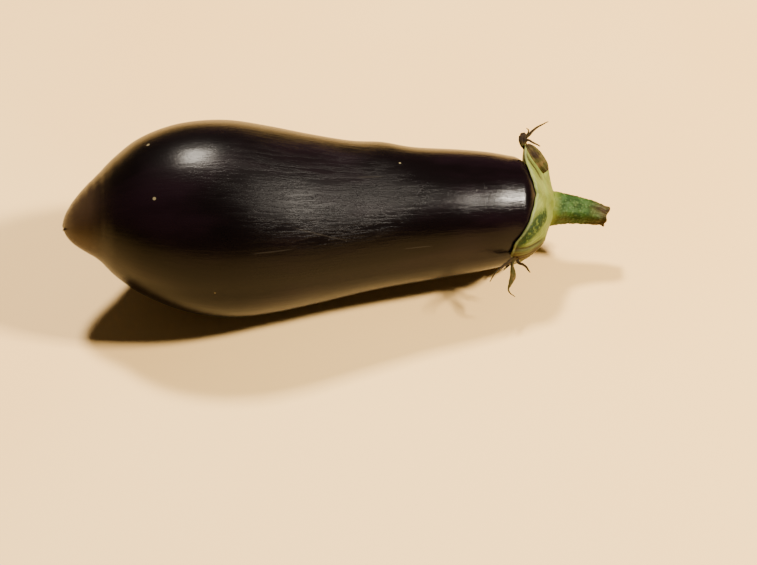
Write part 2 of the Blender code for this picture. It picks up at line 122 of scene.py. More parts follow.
def smooth(knots, values, at):
    """Reads a smooth curve through the values; it never overshoots between two knots."""
    step = np.diff(knots)
    slope = np.diff(values) / step
    tangent = np.zeros(len(knots))
    tangent[0], tangent[-1] = slope[0], slope[-1]
    for i in range(1, len(knots) - 1):
        if slope[i - 1] * slope[i] > 0:
            near = step[i - 1] + 2 * step[i]
            far = 2 * step[i - 1] + step[i]
            tangent[i] = (near + far) / (near / slope[i] + far / slope[i - 1])
    at = np.clip(at, knots[0], knots[-1])
    i = np.clip(np.searchsorted(knots, at, side="right") - 1, 0, len(step) - 1)
    t = (at - knots[i]) / step[i]
    return ((1 + 2 * t) * (1 - t) ** 2 * values[i] + t * (1 - t) ** 2 * step[i] * tangent[i]
            + t * t * (3 - 2 * t) * values[i + 1] + t * t * (t - 1) * step[i] * tangent[i + 1])


def near_angle(theta, centre):
    """Signed difference of two directions in degrees, between -180 and 180."""
    return (np.asarray(theta) - centre + 180.0) % 360.0 - 180.0


def unit(vectors):
    return vectors / np.linalg.norm(vectors, axis=-1, keepdims=True)


def directions(sides):
    return np.arange(sides) * 360.0 / sides


def bell(distance, width):
    return np.exp(-(np.asarray(distance) / width) ** 2)


def within(station, theta, middle, length, direction, spread):
    """1 in the middle of a spot on the skin, fading to 0 round it."""
    return bell(station - middle, length) * bell(near_angle(theta, direction), spread)


def drift(station):
    stations, offsets = np.array(DRIFT).T
    return smooth(stations, offsets, station)


def fading(station):
    """1 along most of the fruit, falling to 0 at both ends."""
    return np.sqrt(np.sin(math.pi * np.clip(station / FRUIT_LENGTH, 0, 1)))


def unevenness(station, theta):
    """How far the skin stands out from the plain turned shape."""
    along = station / FRUIT_LENGTH
    fade = fading(station)
    angle = np.radians(theta)
    flutes = FLUTE_DEPTH * np.cos(FLUTES * angle + FLUTE_TURN) * fade
    swell = SWELL_DEPTH * fade * (np.sin(2 * angle + SWELL_TWISTS[0] * along)
                                  + SMALL_SWELL * np.sin(3 * angle - SWELL_TWISTS[1] * along))
    return flutes + swell + sum(out * within(station, theta, *spot) for out, *spot in (HUMP, CREASE, SAG))


def radial(theta):
    angle = np.radians(np.asarray(theta, float))[..., None]
    return np.cos(angle) * OVER + np.sin(angle) * FRONT


def off_axis(station, radius, theta):
    """A point round the strayed middle line, before the whole is lifted to its height."""
    station, radius, theta = np.broadcast_arrays(station, radius, theta)
    middle = (station[..., None] - REST_STATION) * AXIS
    return middle + drift(station)[..., None] * radial(DRIFT_DIRECTION) + radius[..., None] * radial(theta)


def skin_grid(rings, sides):
    """Stations, directions and points of the skin on a grid, without the two end points."""
    points = through(profile(), rings)[1:-1]
    theta = directions(sides)
    station, radius = points[:, 0, None], points[:, 1, None]
    radius = radius + unevenness(station, theta) * np.minimum(1.0, radius / CALM_RADIUS)
    return station + 0 * theta, theta + 0 * station, off_axis(station, radius, theta)


fruit_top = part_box("fruit")[1].z / MM
SURVEY_RINGS, SURVEY_SIDES = 300, 240
lift_up = np.array([0.0, 0.0, fruit_top - skin_grid(SURVEY_RINGS, SURVEY_SIDES)[2][..., 2].max()])


def place(station, radius, theta):
    return off_axis(station, radius, theta) + lift_up


print("height of the axis over the resting station in mm:", round(lift_up[2], 2))

# %% [markdown]
# ## The camera
# The picture looks down at the fruit from a little to the left of square on. The camera is aimed by a point
# on the axis, and slides its aim sideways and up, so that the fruit sits left of the middle and above it.
# Set the camera early: everything after this can be judged in the view that matters.

# %% Set the camera
CAMERA_RISE = math.radians(44.0)
CAMERA_SWING = math.radians(4.8)
CAMERA_DISTANCE = 0.793
PIXELS_ACROSS, PIXELS_UP = 757, 565
FOCAL_PIXELS = 1857.0
SEEN_AT = (314.0, 216.0)
AIM_STATION = 105.0
SENSOR_WIDTH = 36.0


def put_in(name, data):
    """Makes an object of some data and links it to the scene."""
    made = bpy.data.objects.new(name, data)
    bpy.context.scene.collection.objects.link(made)
    return made


def make_camera():
    data = bpy.data.cameras.new("camera")
    data.sensor_width = SENSOR_WIDTH
    data.lens = FOCAL_PIXELS * SENSOR_WIDTH / PIXELS_ACROSS
    camera = put_in("camera", data)
    back = Vector((-math.sin(CAMERA_SWING) * math.cos(CAMERA_RISE),
                   -math.cos(CAMERA_SWING) * math.cos(CAMERA_RISE), math.sin(CAMERA_RISE)))
    right = Vector((0, 0, 1)).cross(back).normalized()
    up = back.cross(right)
    point = Vector(place(AIM_STATION, 0.0, 0.0) * MM)
    pixel = CAMERA_DISTANCE / FOCAL_PIXELS
    aim = point + right * (PIXELS_ACROSS / 2 - SEEN_AT[0]) * pixel - up * (PIXELS_UP / 2 - SEEN_AT[1]) * pixel
    camera.location = point + back * CAMERA_DISTANCE
    camera.rotation_euler = (aim - camera.location).to_track_quat("-Z", "Y").to_euler()
    bpy.context.scene.camera = camera
    return camera


camera = make_camera()
print("camera at", [round(c, 3) for c in camera.location], "lens", round(camera.data.lens, 1))

# %% [markdown]
# ## Small tools for materials
# A material is a graph. A few helpers keep the graphs readable: they add a node and join its inputs, read a
# pattern that was stored on the mesh, draw a random one out along the grain, and join the result to the
# shader. A socket knows the graph it is in, so most helpers need only sockets. The grain is stored in
# millimetres on the piece itself, so that streaks follow it wherever it turns.

# %% Helpers for materials
def new_material(name):
    made = bpy.data.materials.new(name)
    made.use_nodes = True
    return made, made.node_tree, made.node_tree.nodes["Principled BSDF"]


def add(tree, kind, inputs, **settings):
    """Adds a node. An input is a number, a colour or another node's output."""
    made = tree.nodes.new("ShaderNode" + kind)
    for key, value in settings.items():
        setattr(made, key, value)
    for socket, value in inputs.items():
        if isinstance(value, bpy.types.NodeSocket):
            tree.links.new(value, made.inputs[socket])
        else:
            made.inputs[socket].default_value = value
    return made


def stored(tree, name, part="Fac"):
    return add(tree, "Attribute", {}, attribute_name=name).outputs[part]


def between(value, low, high, start=0.0, end=1.0):
    """Maps a value from low-high to start-end and holds it there."""
    inputs = {"Value": value, "From Min": low, "From Max": high, "To Min": start, "To Max": end}
    return add(value.id_data, "MapRange", inputs, interpolation_type="SMOOTHSTEP").outputs["Result"]


def eased(pattern, start, end):
    return between(pattern, 0.0, 1.0, start, end)


def cloud(vector, scale=1.0, detail=3.0, roughness=0.5, limits=None):
    """Soft random pattern. With limits, what lies between them is drawn out to 0 to 1."""
    inputs = {"Vector": vector, "Scale": scale, "Detail": detail, "Roughness": roughness}
    pattern = add(vector.id_data, "TexNoise", inputs).outputs["Fac"]
    return between(pattern, *limits) if limits else pattern


def fibrous(grain, along, across, **look):
    """The same pattern, drawn out along the grain."""
    squeezed = add(grain.id_data, "Mapping", {"Vector": grain, "Scale": (along, across, across)})
    return cloud(squeezed.outputs["Vector"], **look)


def maths(operation, first, second):
    return add(first.id_data, "Math", {0: first, 1: second}, operation=operation).outputs[0]


def times(first, second):
    return maths("MULTIPLY", first, second)


def plus(first, second):
    return maths("ADD", first, second)


def mixed(share, first, second):
    """One colour going over to another."""
    return add(share.id_data, "Mix", {0: share, 6: first, 7: second}, data_type="RGBA").outputs[2]


def colour(red, green, blue):
    return (red, green, blue, 1.0)


def surface(shader, base, dullness, relief, depth, strength=1.0, shine=0.5):
    """Joins the patterns to the shader. Relief is what is too fine for the mesh, its depth in millimetres."""
    tree = shader.id_data
    tree.links.new(base, shader.inputs["Base Color"])
    tree.links.new(dullness, shader.inputs["Roughness"])
    made = add(tree, "Bump", {"Height": relief, "Distance": depth * MM, "Strength": strength})
    tree.links.new(made.outputs["Normal"], shader.inputs["Normal"])
    shader.inputs["Specular IOR Level"].default_value = shine


print("node helpers ready")

# %% [markdown]
# ## Meshes from rings
# Fruit, cap and stalk are all lofts: rings of points joined by faces, closed by a fan at each end. Writing
# the rings out in code gives clean quads that follow the growth of the plant, which a sculpted or a
# remeshed surface wouldn't.

# %% Helpers for meshes
def loft_faces(rings, sides):
    """Faces over rings of points: one start point, then the rings, then one end point."""
    k = np.arange(sides)
    n = (k + 1) % sides
    low = 1 + np.arange(rings - 1)[:, None] * sides
    quads = np.stack([low + k, low + n, low + n + sides, low + k + sides], axis=-1).reshape(-1, 4)
    last = 1 + (rings - 1) * sides
    caps = [(0, 1 + b, 1 + a) for a, b in zip(k, n)]
    caps += [(last + a, last + b, last + sides) for a, b in zip(k, n)]
    return quads.tolist() + caps


def new_piece(name, shape, material, node):
    """Makes one piece in metres, with its stored patterns, and ties it to the frame."""
    points, faces, marks = shape
    mesh = bpy.data.meshes.new(name)
    mesh.from_pydata((np.asarray(points) * MM).tolist(), [], faces)
    mesh.materials.append(material)
    mesh.shade_smooth()
    for key, values in marks.items():
        values = np.asarray(values, float)
        kind, part = ("FLOAT_VECTOR", "vector") if values.ndim == 2 else ("FLOAT", "value")
        mesh.attributes.new(key, kind, "POINT").data.foreach_set(part, values.ravel())
    piece = put_in(name, mesh)
    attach(piece, "root")
    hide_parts(node)
    print(name, "has", len(mesh.vertices), "points and", len(mesh.polygons), "faces")
    return piece


def with_ends(grid):
    """Values of a grid of rings as one list, with the first and the last ring's for the two end points."""
    return np.concatenate([grid[:1, 0], grid.reshape(-1, *grid.shape[2:]), grid[-1:, 0]])


def rough(points, size, seed=0.0):
    """Random heights from -1 to 1 that change over the given size in millimetres."""
    shift = Vector((seed, 2.7 * seed, -1.3 * seed))
    flat = np.asarray(points).reshape(-1, 3) / size
    values = np.array([noise.noise(Vector(p) + shift) for p in flat])
    return values.reshape(np.asarray(points).shape[:-1])


def outward(points):
    """Unit normals of a grid of rings, pointing away from the rings' middles."""
    along = np.gradient(points, axis=0)
    around = np.roll(points, -1, axis=1) - np.roll(points, 1, axis=1)
    normal = np.cross(along, around)
    normal /= np.linalg.norm(normal, axis=-1, keepdims=True) + 1e-12
    away = points - points.mean(axis=1, keepdims=True)
    flip = np.sign((normal * away).sum(axis=-1).mean())
    return normal * flip


print("mesh helpers ready")

# %% [markdown]
# ## The skin of the fruit
# Eggplant skin is a thin waxed film over firm flesh. In the gloss every dent shows, so the skin gets
# shallow waves a few centimetres long, and faint rings round the nipple where the flower's base pressed on
# it. The small spot that it lies on is flattened against the floor.

# %% Build the fruit
FRUIT_RINGS = 330
FRUIT_SIDES = 240
WAVE_DEPTH, WAVE_SIZE = 0.16, 21.0
RIPPLE_DEPTH, RIPPLE_STATION, RIPPLE_LENGTH, RIPPLE_PITCH = 0.06, 12.0, 7.0, 3.4
RIPPLE_WANDER, RIPPLE_FADE = 0.7, 0.4
SPOT_SOFTNESS, FAR_UP, GRAIN_RADIUS = 0.12, 60.0, 30.0
BULGE, BULGE_SPOT = 0.5, (182.5, 8.0, 38.0, 60.0)
SCUFFED, MOTTLED = (104.0, 42.0, 28.0, 44.0), (173.0, 13.0, 38.0, 26.0)
WAXED_FROM, WAX_FADE = 160.0, 13.0
# The blossom end gets a painted brown reflection in its colour, which fades out near this station
TIP_SHEEN_END, TIP_FADE = 13.5, 2.2


def build_fruit():
    station, theta, points = skin_grid(FRUIT_RINGS, FRUIT_SIDES)
    points = points + lift_up
    angle = np.radians(theta)
    waves = WAVE_DEPTH * fading(station) * rough(points, WAVE_SIZE, seed=3.0)
    ripples = RIPPLE_DEPTH * np.sin(2 * math.pi * station / RIPPLE_PITCH + RIPPLE_WANDER * np.sin(angle))
    ripples *= bell(station - RIPPLE_STATION, RIPPLE_LENGTH)
    ripples *= 1 - RIPPLE_FADE + RIPPLE_FADE * np.cos(2 * angle)
    bulge = BULGE * within(station, theta, *BULGE_SPOT)
    points = points + (waves + ripples + bulge)[..., None] * outward(points)
    height = points[..., 2]
    soft = np.log1p(np.exp(np.clip(height / SPOT_SOFTNESS, -FAR_UP, FAR_UP))) * SPOT_SOFTNESS
    points[..., 2] = np.where(height > FAR_UP * SPOT_SOFTNESS, height, soft)
    tip, shoulder = place(0.0, 0.0, 0.0), place(FRUIT_LENGTH, 0.0, 0.0)
    grain = np.stack([station, GRAIN_RADIUS * np.cos(angle), GRAIN_RADIUS * np.sin(angle)], axis=-1)
    marks = {"grain": np.vstack([[0, 0, 0], grain.reshape(-1, 3), [FRUIT_LENGTH, 0, 0]])}
    waxed = 1 / (1 + np.exp((WAXED_FROM - station) / WAX_FADE))
    painted_tip_sheen = 1 / (1 + np.exp((station - TIP_SHEEN_END) / TIP_FADE))
    for name, values, at_tip in (("scuffed", within(station, theta, *SCUFFED), 0), ("waxed", waxed, 0),
                                 ("mottled", within(station, theta, *MOTTLED), 0), ("painted_tip_sheen", painted_tip_sheen, 1)):
        marks[name] = np.concatenate([[at_tip], values.ravel(), [0]])
    every = np.vstack([tip, points.reshape(-1, 3), shoulder])
    return every, loft_faces(FRUIT_RINGS - 2, FRUIT_SIDES), marks


fruit_shape = build_fruit()
print("lowest skin in mm:", round(fruit_shape[0][:, 2].min(), 3))

# %% [markdown]
# ## Gloss over near-black
# The colour is a purple so deep that it reads as black, and what one really sees is the gloss: sharp where
# the wax is whole, blurred where handling has left fine scuffs along the fruit. So the colour stays quiet,
# and the streaks go into the roughness and a very shallow bump. Near the blossom end a warm brown sheen is
# laid into the colour as a painted reflection, and on the neck the gloss is mottled by shallow dimples.

# %% Material of the skin
SKIN_BLACK = colour(0.0016, 0.0008, 0.0010)
SKIN_PURPLE = colour(0.0050, 0.0021, 0.0034)
# Colour of the painted brown reflection at the blossom end
TIP_SHEEN_BROWN = colour(0.042, 0.025, 0.014)
SPECK_PALE = colour(0.150, 0.125, 0.070)
SCAR_BROWN = colour(0.016, 0.009, 0.006)
SCRATCH_GREY = colour(0.012, 0.010, 0.008)
# Marks on the skin: station, direction, half length, half width and, where they slant, degrees
SPECKS = ((35.8, -11.4, 0.7, 0.6), (37.1, 34.5, 0.7, 0.6), (61.0, 96.0, 0.3, 0.3), (139.9, 1.5, 0.5, 0.4),
          (96.0, 250.0, 0.6, 0.5), (150.0, 215.0, 0.6, 0.5))
SCARS = ((23.5, 112.7, 1.6, 0.5), (134.5, -40.0, 7.0, 1.1), (118.0, 232.0, 5.0, 0.6))
SCRATCHES = ((104.0, 57.0, 16.0, 0.24, -14.0), (146.0, 74.0, 6.5, 0.28), (126.0, 16.0, 6.0, 0.28, 3.0),
             (84.0, 66.0, 9.0, 0.24, 4.0), (70.0, 190.0, 12.0, 0.30, 5.0))
CLEAN_ROUGHNESS, SCUFFED_ROUGHNESS, WAX = 0.27, 0.40, 0.09
SKIN_IOR = 1.22


def mark_mask(grain, station, theta, half_length, half_width, slant=0.0):
    """1 inside a small oval mark on the skin, and 0 outside it."""
    tree, turn = grain.id_data, math.radians(theta)
    centre = (station, GRAIN_RADIUS * math.cos(turn), GRAIN_RADIUS * math.sin(turn))
    local = add(tree, "Mapping", {"Vector": grain, "Location": centre, "Rotation": (turn, 0, 0)},
                vector_type="TEXTURE").outputs["Vector"]
    scaled = add(tree, "Mapping", {"Vector": local, "Rotation": (0, math.radians(slant), 0),
                                   "Scale": (half_length, half_width, half_width)},
                 vector_type="TEXTURE").outputs["Vector"]
    size = add(tree, "VectorMath", {0: scaled}, operation="LENGTH").outputs["Value"]
    return between(size, 0.75, 1.1, 1.0, 0.0)


def make_skin():
    made, tree, shader = new_material("glossy_skin")
    grain = stored(tree, "grain", "Vector")
    tint = fibrous(grain, 0.02, 0.06, limits=(0.4, 0.7))
    base = mixed(tint, SKIN_BLACK, SKIN_PURPLE)
    # Painted reflection: a warm brown sheen laid into the colour at the blossom end
    base = mixed(stored(tree, "painted_tip_sheen"), base, TIP_SHEEN_BROWN)
    for marks, tone in ((SPECKS, SPECK_PALE), (SCARS, SCAR_BROWN), (SCRATCHES, SCRATCH_GREY)):
        for mark in marks:
            base = mixed(mark_mask(grain, *mark), base, tone)

    streaks = fibrous(grain, 0.05, 0.55, detail=5.0, roughness=0.75, limits=(0.42, 0.60))
    broad = times(fibrous(grain, 0.015, 0.09), 0.5)
    worn = between(plus(stored(tree, "scuffed"), broad), 0.35, 0.95)
    scuffs = times(eased(streaks, 0.55, 1.0), worn)
    dull = eased(scuffs, CLEAN_ROUGHNESS, SCUFFED_ROUGHNESS)
    dull = maths("SUBTRACT", dull, times(stored(tree, "waxed"), WAX))
    pores = cloud(grain, scale=0.9, detail=4.0, roughness=0.7)
    pores = times(pores, eased(stored(tree, "mottled"), 0.5, 1.4))
    scratches = times(streaks, eased(worn, 0.25, 1.0))
    surface(shader, base, dull, plus(scratches, pores), depth=0.07)
    shader.inputs["IOR"].default_value = SKIN_IOR
    return made


new_piece("fruit_skin", fruit_shape, make_skin(), "fruit")

# %% [markdown]
# ## The cap: how a lobed calyx is laid over the shoulder
# The calyx is the flower's old cup. It hugs the shoulder in five lobes. It can be drawn as two sheets over
# the skin: the lower one follows the fruit, the upper one is thick in the middle and thin at the edge, and
# both end at a margin that reaches far at each lobe and little between them. One lobe dried early and
# stands off the fruit.

# %% Sizes of the cap
# Lobes: direction, reach, how far the pad over the root stands out, and how speckled the lobe is
LOBES = {"raised": (-44.0, 30.0, 4.9, 0.0), "front": (96.0, 34.5, 1.2, 1.0),
         "under_front": (156.0, 31.0, 0.6, 0.6), "under_back": (206.0, 32.0, 0.6, 0.5),
         "back": (264.0, 35.0, 1.2, 0.8)}
DIRECTIONS, REACHES, PADS, SPECKLED = np.array(list(LOBES.values())).T
PAD_DISTANCE, PAD_LENGTH, PAD_SPREAD = 12.5, 7.5, 23.0
SINUS_REACH = 19.5
LOBE_POINT, TIP_ROUNDING = 0.85, 0.065
MARGIN_WAVE, MARGIN_WAVES = 0.2, 23
FULLER = ((1.5, -14.0, 9.0), (2.0, 9.0, 8.0))
CLEARANCE, CAP_THICKNESS, MARGIN_THICKNESS, THINNING = 0.35, 3.0, 0.9, 1.6
KEEL_HEIGHT, KEEL_WIDTH, KEEL_START, KEEL_RISE, KEEL_END = 1.1, 7.0, 0.35, 0.3, 0.12
SEAT_RADIUS, SEAT_HEIGHT, FLARE_REACH = 7.6, 4.9, 13.0
SEAT_SLOPE, SEAT_SLOPE_DIRECTION = 1.2, -44.0
RAISED_START, RAISED_DIRECTION, RAISED_OFFSET = 8.0, np.array([-0.32, 0.947]), 0.4
RAISED_SPREAD, RAISED_SPREAD_BEHIND = 23.0, 32.0
TIP_LIFT, TIP_LIFT_START = 1.0, 0.7

PATH_SAMPLES, SLOPE_STEP = 600, 0.5
path_points = through(profile(), PATH_SAMPLES)[::-1]
path_length = lengths(path_points)


def on_skin(distance):
    """Station, radius and outward normal at a distance along the skin from the middle of the shoulder."""
    here, ahead = (np.stack([np.interp(at, path_length, path_points[:, k]) for k in (0, 1)], axis=-1)
                   for at in (distance, distance + SLOPE_STEP))
    along = unit(ahead - here)
    return here, np.stack([along[..., 1], -along[..., 0]], axis=-1)


def lobe_of(theta):
    """For each direction, the nearest lobe's number, and how far it is from its middle, 1 at the sinus."""
    gaps = np.stack([near_angle(theta, middle) for middle in DIRECTIONS], axis=-1)
    number = np.argmin(np.abs(gaps), axis=-1)
    gap = np.take_along_axis(gaps, number[..., None], axis=-1)[..., 0]
    others = near_angle(DIRECTIONS, DIRECTIONS[number][..., None])
    same_side = np.where(others * gap[..., None] > 0, np.abs(others), 999.0).min(axis=-1)
    same_side = np.where(gap == 0, 90.0, same_side)
    return number, np.abs(gap) / (same_side / 2)


def of_lobe(values, theta):
    return values[lobe_of(theta)[0]]


def across_lobe(distance, theta):
    """How far a point is to the side of its lobe's middle, in degrees and in millimetres."""
    offset = near_angle(theta, of_lobe(DIRECTIONS, theta))
    return offset, np.radians(offset) * on_skin(distance)[0][..., 1]


def margin(theta):
    """Where the edge of the cap is, as a distance along the skin."""
    share = lobe_of(theta)[1]
    rounded = np.minimum(1.0, np.hypot(share, TIP_ROUNDING))
    wave = MARGIN_WAVE * np.sin(np.radians(theta) * MARGIN_WAVES) * share
    offset = near_angle(theta, LOBES["front"][0])
    for extra, at, spread in FULLER:
        wave = wave + extra * bell(offset - at, spread) * np.minimum(1.0, np.abs(offset / at))
    return SINUS_REACH + (of_lobe(REACHES, theta) - SINUS_REACH) * (1 - rounded ** LOBE_POINT) + wave


def cap_point(distance, height, theta):
    """A point over the skin, or over the straight path of the raised lobe near it."""
    here, normal = on_skin(distance)
    spot = here + height[..., None] * normal
    root = on_skin(np.array(RAISED_START))[0]
    side = np.array([RAISED_DIRECTION[1], -RAISED_DIRECTION[0]])
    onward = (distance - RAISED_START)[..., None] * RAISED_DIRECTION
    raised = root + onward + (height + RAISED_OFFSET)[..., None] * side
    turn = near_angle(theta, LOBES["raised"][0])
    away = bell(turn, np.where(turn > 0, RAISED_SPREAD, RAISED_SPREAD_BEHIND)) * (distance > RAISED_START)
    spot = (1 - away)[..., None] * spot + away[..., None] * raised
    lump = unevenness(spot[..., 0], theta) * np.minimum(1.0, spot[..., 1] / CALM_RADIUS)
    return place(spot[..., 0], spot[..., 1] + lump, theta)


def lift(share, theta):
    """Lobes come slightly off the skin towards their tips."""
    onward = np.clip((share - TIP_LIFT_START) / (1 - TIP_LIFT_START), 0, 1)
    return TIP_LIFT * onward ** 2 * np.clip(1 - lobe_of(theta)[1], 0, 1)


def seat_height(share_of_radius, theta):
    """The seat of the stalk slopes: it stands further out on one side."""
    slope = SEAT_SLOPE * np.cos(np.radians(theta - SEAT_SLOPE_DIRECTION))
    return SEAT_HEIGHT + slope * share_of_radius


def cap_thickness(distance, theta):
    """Thick at the middle, thin at the edge, with a keel along each lobe."""
    share = distance / margin(theta)
    body = MARGIN_THICKNESS + (CAP_THICKNESS - MARGIN_THICKNESS) * (1 - share ** THINNING)
    off, sideways = np.abs(across_lobe(distance, theta))
    fade = np.clip((share - KEEL_START) / KEEL_RISE, 0, 1) * np.clip((1 - share) / KEEL_END, 0, 1)
    keel = KEEL_HEIGHT * np.clip(1 - sideways / (KEEL_WIDTH / 2), 0, 1) * fade
    flare = seat_height(1.0, theta) * bell(np.maximum(0.0, distance - SEAT_RADIUS), FLARE_REACH - SEAT_RADIUS)
    pad = of_lobe(PADS, theta) * bell(distance - PAD_DISTANCE, PAD_LENGTH) * bell(off, PAD_SPREAD)
    return np.maximum(body, flare) + keel + pad


print("reach of the lobes in mm:", dict(zip(LOBES, REACHES.tolist())))

# %% [markdown]
# ## Building the cap
# The upper sheet gets what the plain solid leaves out: fine ribs that run out along each lobe, soft warts
# in the dark band of the front lobe, and a rounded, slightly ragged edge. It ends halfway in, and straight
# rings carry it on to the stalk's seat. Where it is dark, dry or speckled is stored on the mesh at the same
# time, because the code that shapes the band also knows where it is.

# %% Build the cap
CAP_SIDES, UPPER_STEPS, LOWER_STEPS = 420, 56, 12
SHEET_END, COLLAR_STEPS, COLLAR_HOLLOW = 0.5, 12, 0.5
RIB_DEPTH, RIB_PITCH, RIB_START = 0.05, 1.9, 0.5
LUMP_DEPTH, LUMP_SIZE = 0.20, 5.0
WART_HEIGHT, WART_SIZE = 0.26, 0.9
EDGE_ROUNDING, HUG, HUG_START, HUG_SPREAD = 0.05, 0.3, 0.7, 40.0
GROOVE_DEPTH, GROOVE_WIDTH, HIGH_GROOVE, LOW_GROOVE, LOW_STRENGTH = 0.40, 2.0, -7.5, 5.5, 0.8
STRIP_SIDE, STRIP_FAR_SIDE, STRIP_START = (-9.0, -2.0), (26.0, 34.0), (0.35, 0.6)
RIM_WIDTH, RIM_HEIGHT, SEAT_RINGS = 0.45, 0.1, (1.0, 0.75, 0.4)
DRY_TIP_FROM, DRY_TIP_SPREAD = 0.86, 16.0
BAND_DISTANCES, BAND_OFFSETS = (12.0, 18.0, 24.0, 29.0, 33.0), (-44.0, -37.0, -29.0, -21.0, -14.0)
BAND_WIDTH = 9.5
FOLD_DISTANCES, FOLD_OFFSETS, FOLD_WIDTH = (16.0, 20.0, 24.0, 28.0), (37.0, 30.0, 24.0, 16.0), 4.0


def step_up(value, low, high):
    t = np.clip((np.asarray(value) - low) / (high - low), 0, 1)
    return t * t * (3 - 2 * t)


def cap_marks(distance, share, theta):
    """Where the upper sheet is speckled, creased, dry or rimmed, each from 0 to 1."""
    offset, strong = across_lobe(distance, theta)[0], of_lobe(SPECKLED, theta)
    band = bell(offset - np.interp(distance, BAND_DISTANCES, BAND_OFFSETS), BAND_WIDTH)
    band = strong * band * step_up(distance, 12, 16)
    low_line = LOW_STRENGTH * bell(offset - LOW_GROOVE, GROOVE_WIDTH) * step_up(share, 0.6, 0.7)
    groove = (bell(offset - HIGH_GROOVE, GROOVE_WIDTH) + low_line) * step_up(share, 0.48, 0.62) * (strong > 0)
    strip = step_up(offset, *STRIP_SIDE) * (1 - step_up(offset, *STRIP_FAR_SIDE))
    strip = strip * step_up(share, *STRIP_START) * (strong > 0)
    tip = step_up(share, DRY_TIP_FROM, 1.0) * bell(offset, DRY_TIP_SPREAD)
    fold = bell(offset - np.interp(distance, FOLD_DISTANCES, FOLD_OFFSETS), FOLD_WIDTH)
    groove = groove + fold * step_up(distance, 13, 16) * (strong == 0)
    rim = bell(margin(theta) - distance - RIM_WIDTH, RIM_WIDTH)
    return band, groove, strip, tip, rim


def build_cap():
    theta = directions(CAP_SIDES)
    edge = margin(theta)
    hugging = HUG * (1 - bell(near_angle(theta, LOBES["raised"][0]), HUG_SPREAD))

    def lowest(share):
        return CLEARANCE + lift(share, theta) - hugging * step_up(share, HUG_START, 1.0)

    out = np.linspace(0.0, 1.0, LOWER_STEPS + 1)[1:, None]
    lower = cap_point(out * edge, lowest(out), theta + 0 * out)

    share = np.linspace(1.0, SHEET_END, UPPER_STEPS)[:, None] + 0 * theta
    theta = theta + 0 * share
    distance = share * edge
    band, groove, strip, tip, rim = cap_marks(distance, share, theta)
    sideways = across_lobe(distance, theta)[1]
    ribs = RIB_DEPTH * np.cos(2 * math.pi * sideways / RIB_PITCH) * step_up(share, RIB_START, 0.7)
    rounding = np.sqrt(np.clip((1 - share) / EDGE_ROUNDING, 0.03, 1))
    foot = lowest(share)
    plain = cap_point(distance, foot + cap_thickness(distance, theta), theta)
    lumps = LUMP_DEPTH * rough(plain, LUMP_SIZE, seed=5.0)
    warts = WART_HEIGHT * band * np.clip(rough(plain, WART_SIZE, seed=9.0), -0.2, 1.0)
    relief = (ribs + lumps + warts - GROOVE_DEPTH * groove + RIM_HEIGHT * rim) * step_up(share, 0.2, 0.35)
    upper = cap_point(distance, foot + (cap_thickness(distance, theta) + relief) * rounding, theta)

    start = FRUIT_LENGTH + CLEARANCE
    on = np.linspace(0.0, 1.0, COLLAR_STEPS + 1)[1:, None, None]
    inward = np.array(SEAT_RINGS)[:, None]
    seat = place(start + seat_height(inward, theta[:1]), inward * SEAT_RADIUS, theta[:1])
    collar = upper[-1:] + (seat[:1] - upper[-1:]) * on - COLLAR_HOLLOW * on * (1 - on) * AXIS
    bottom, top = place(start, 0.0, 0.0), place(start + SEAT_HEIGHT, 0.0, 0.0)
    rings = np.concatenate([lower, upper, collar, seat[1:]])
    points = np.vstack([bottom, rings.reshape(-1, 3), top])

    def whole(values, below=0.0):
        beside = (len(lower), len(rings) - len(lower) - len(upper))
        return with_ends(np.pad(values, (beside, (0, 0)), constant_values=((below, 0), (0, 0))))

    grain = np.stack([whole(distance, 10.0), whole(sideways), whole(0 * share)], axis=-1)
    marks = {"band": whole(band), "groove": whole(groove), "strip": whole(strip),
             "tip": whole(tip, 0.4), "rim": whole(rim, 0.5), "grain": grain}
    return points, loft_faces(len(rings), CAP_SIDES), marks


cap_shape = build_cap()
print("cap reaches from x", cap_shape[0][:, 0].min().round(1), "to", cap_shape[0][:, 0].max().round(1), "mm")

# %% [markdown]
# ## The green of the cap
# Fresh, the cap is a pale yellow green, lighter and darker in patches, with a band of dark green spots where
# the sun reached it. Towards the tips it dries to straw and brown. Each of these is one step over the last,
# so a step can be taken out to see what it does.

# %% Material of the cap
FRESH = colour(0.110, 0.135, 0.016)
FRESH_LIGHT = colour(0.175, 0.205, 0.040)
FRESH_DEEP = colour(0.045, 0.070, 0.008)
SPOT_GREEN = colour(0.008, 0.024, 0.002)
STRAW = colour(0.070, 0.045, 0.010)
BROWN = colour(0.025, 0.013, 0.005)
RIM_PALE = colour(0.200, 0.220, 0.080)
# Painted shade for the grooves and the fold of the cap
GROOVE_SHADE = colour(0.020, 0.012, 0.004)


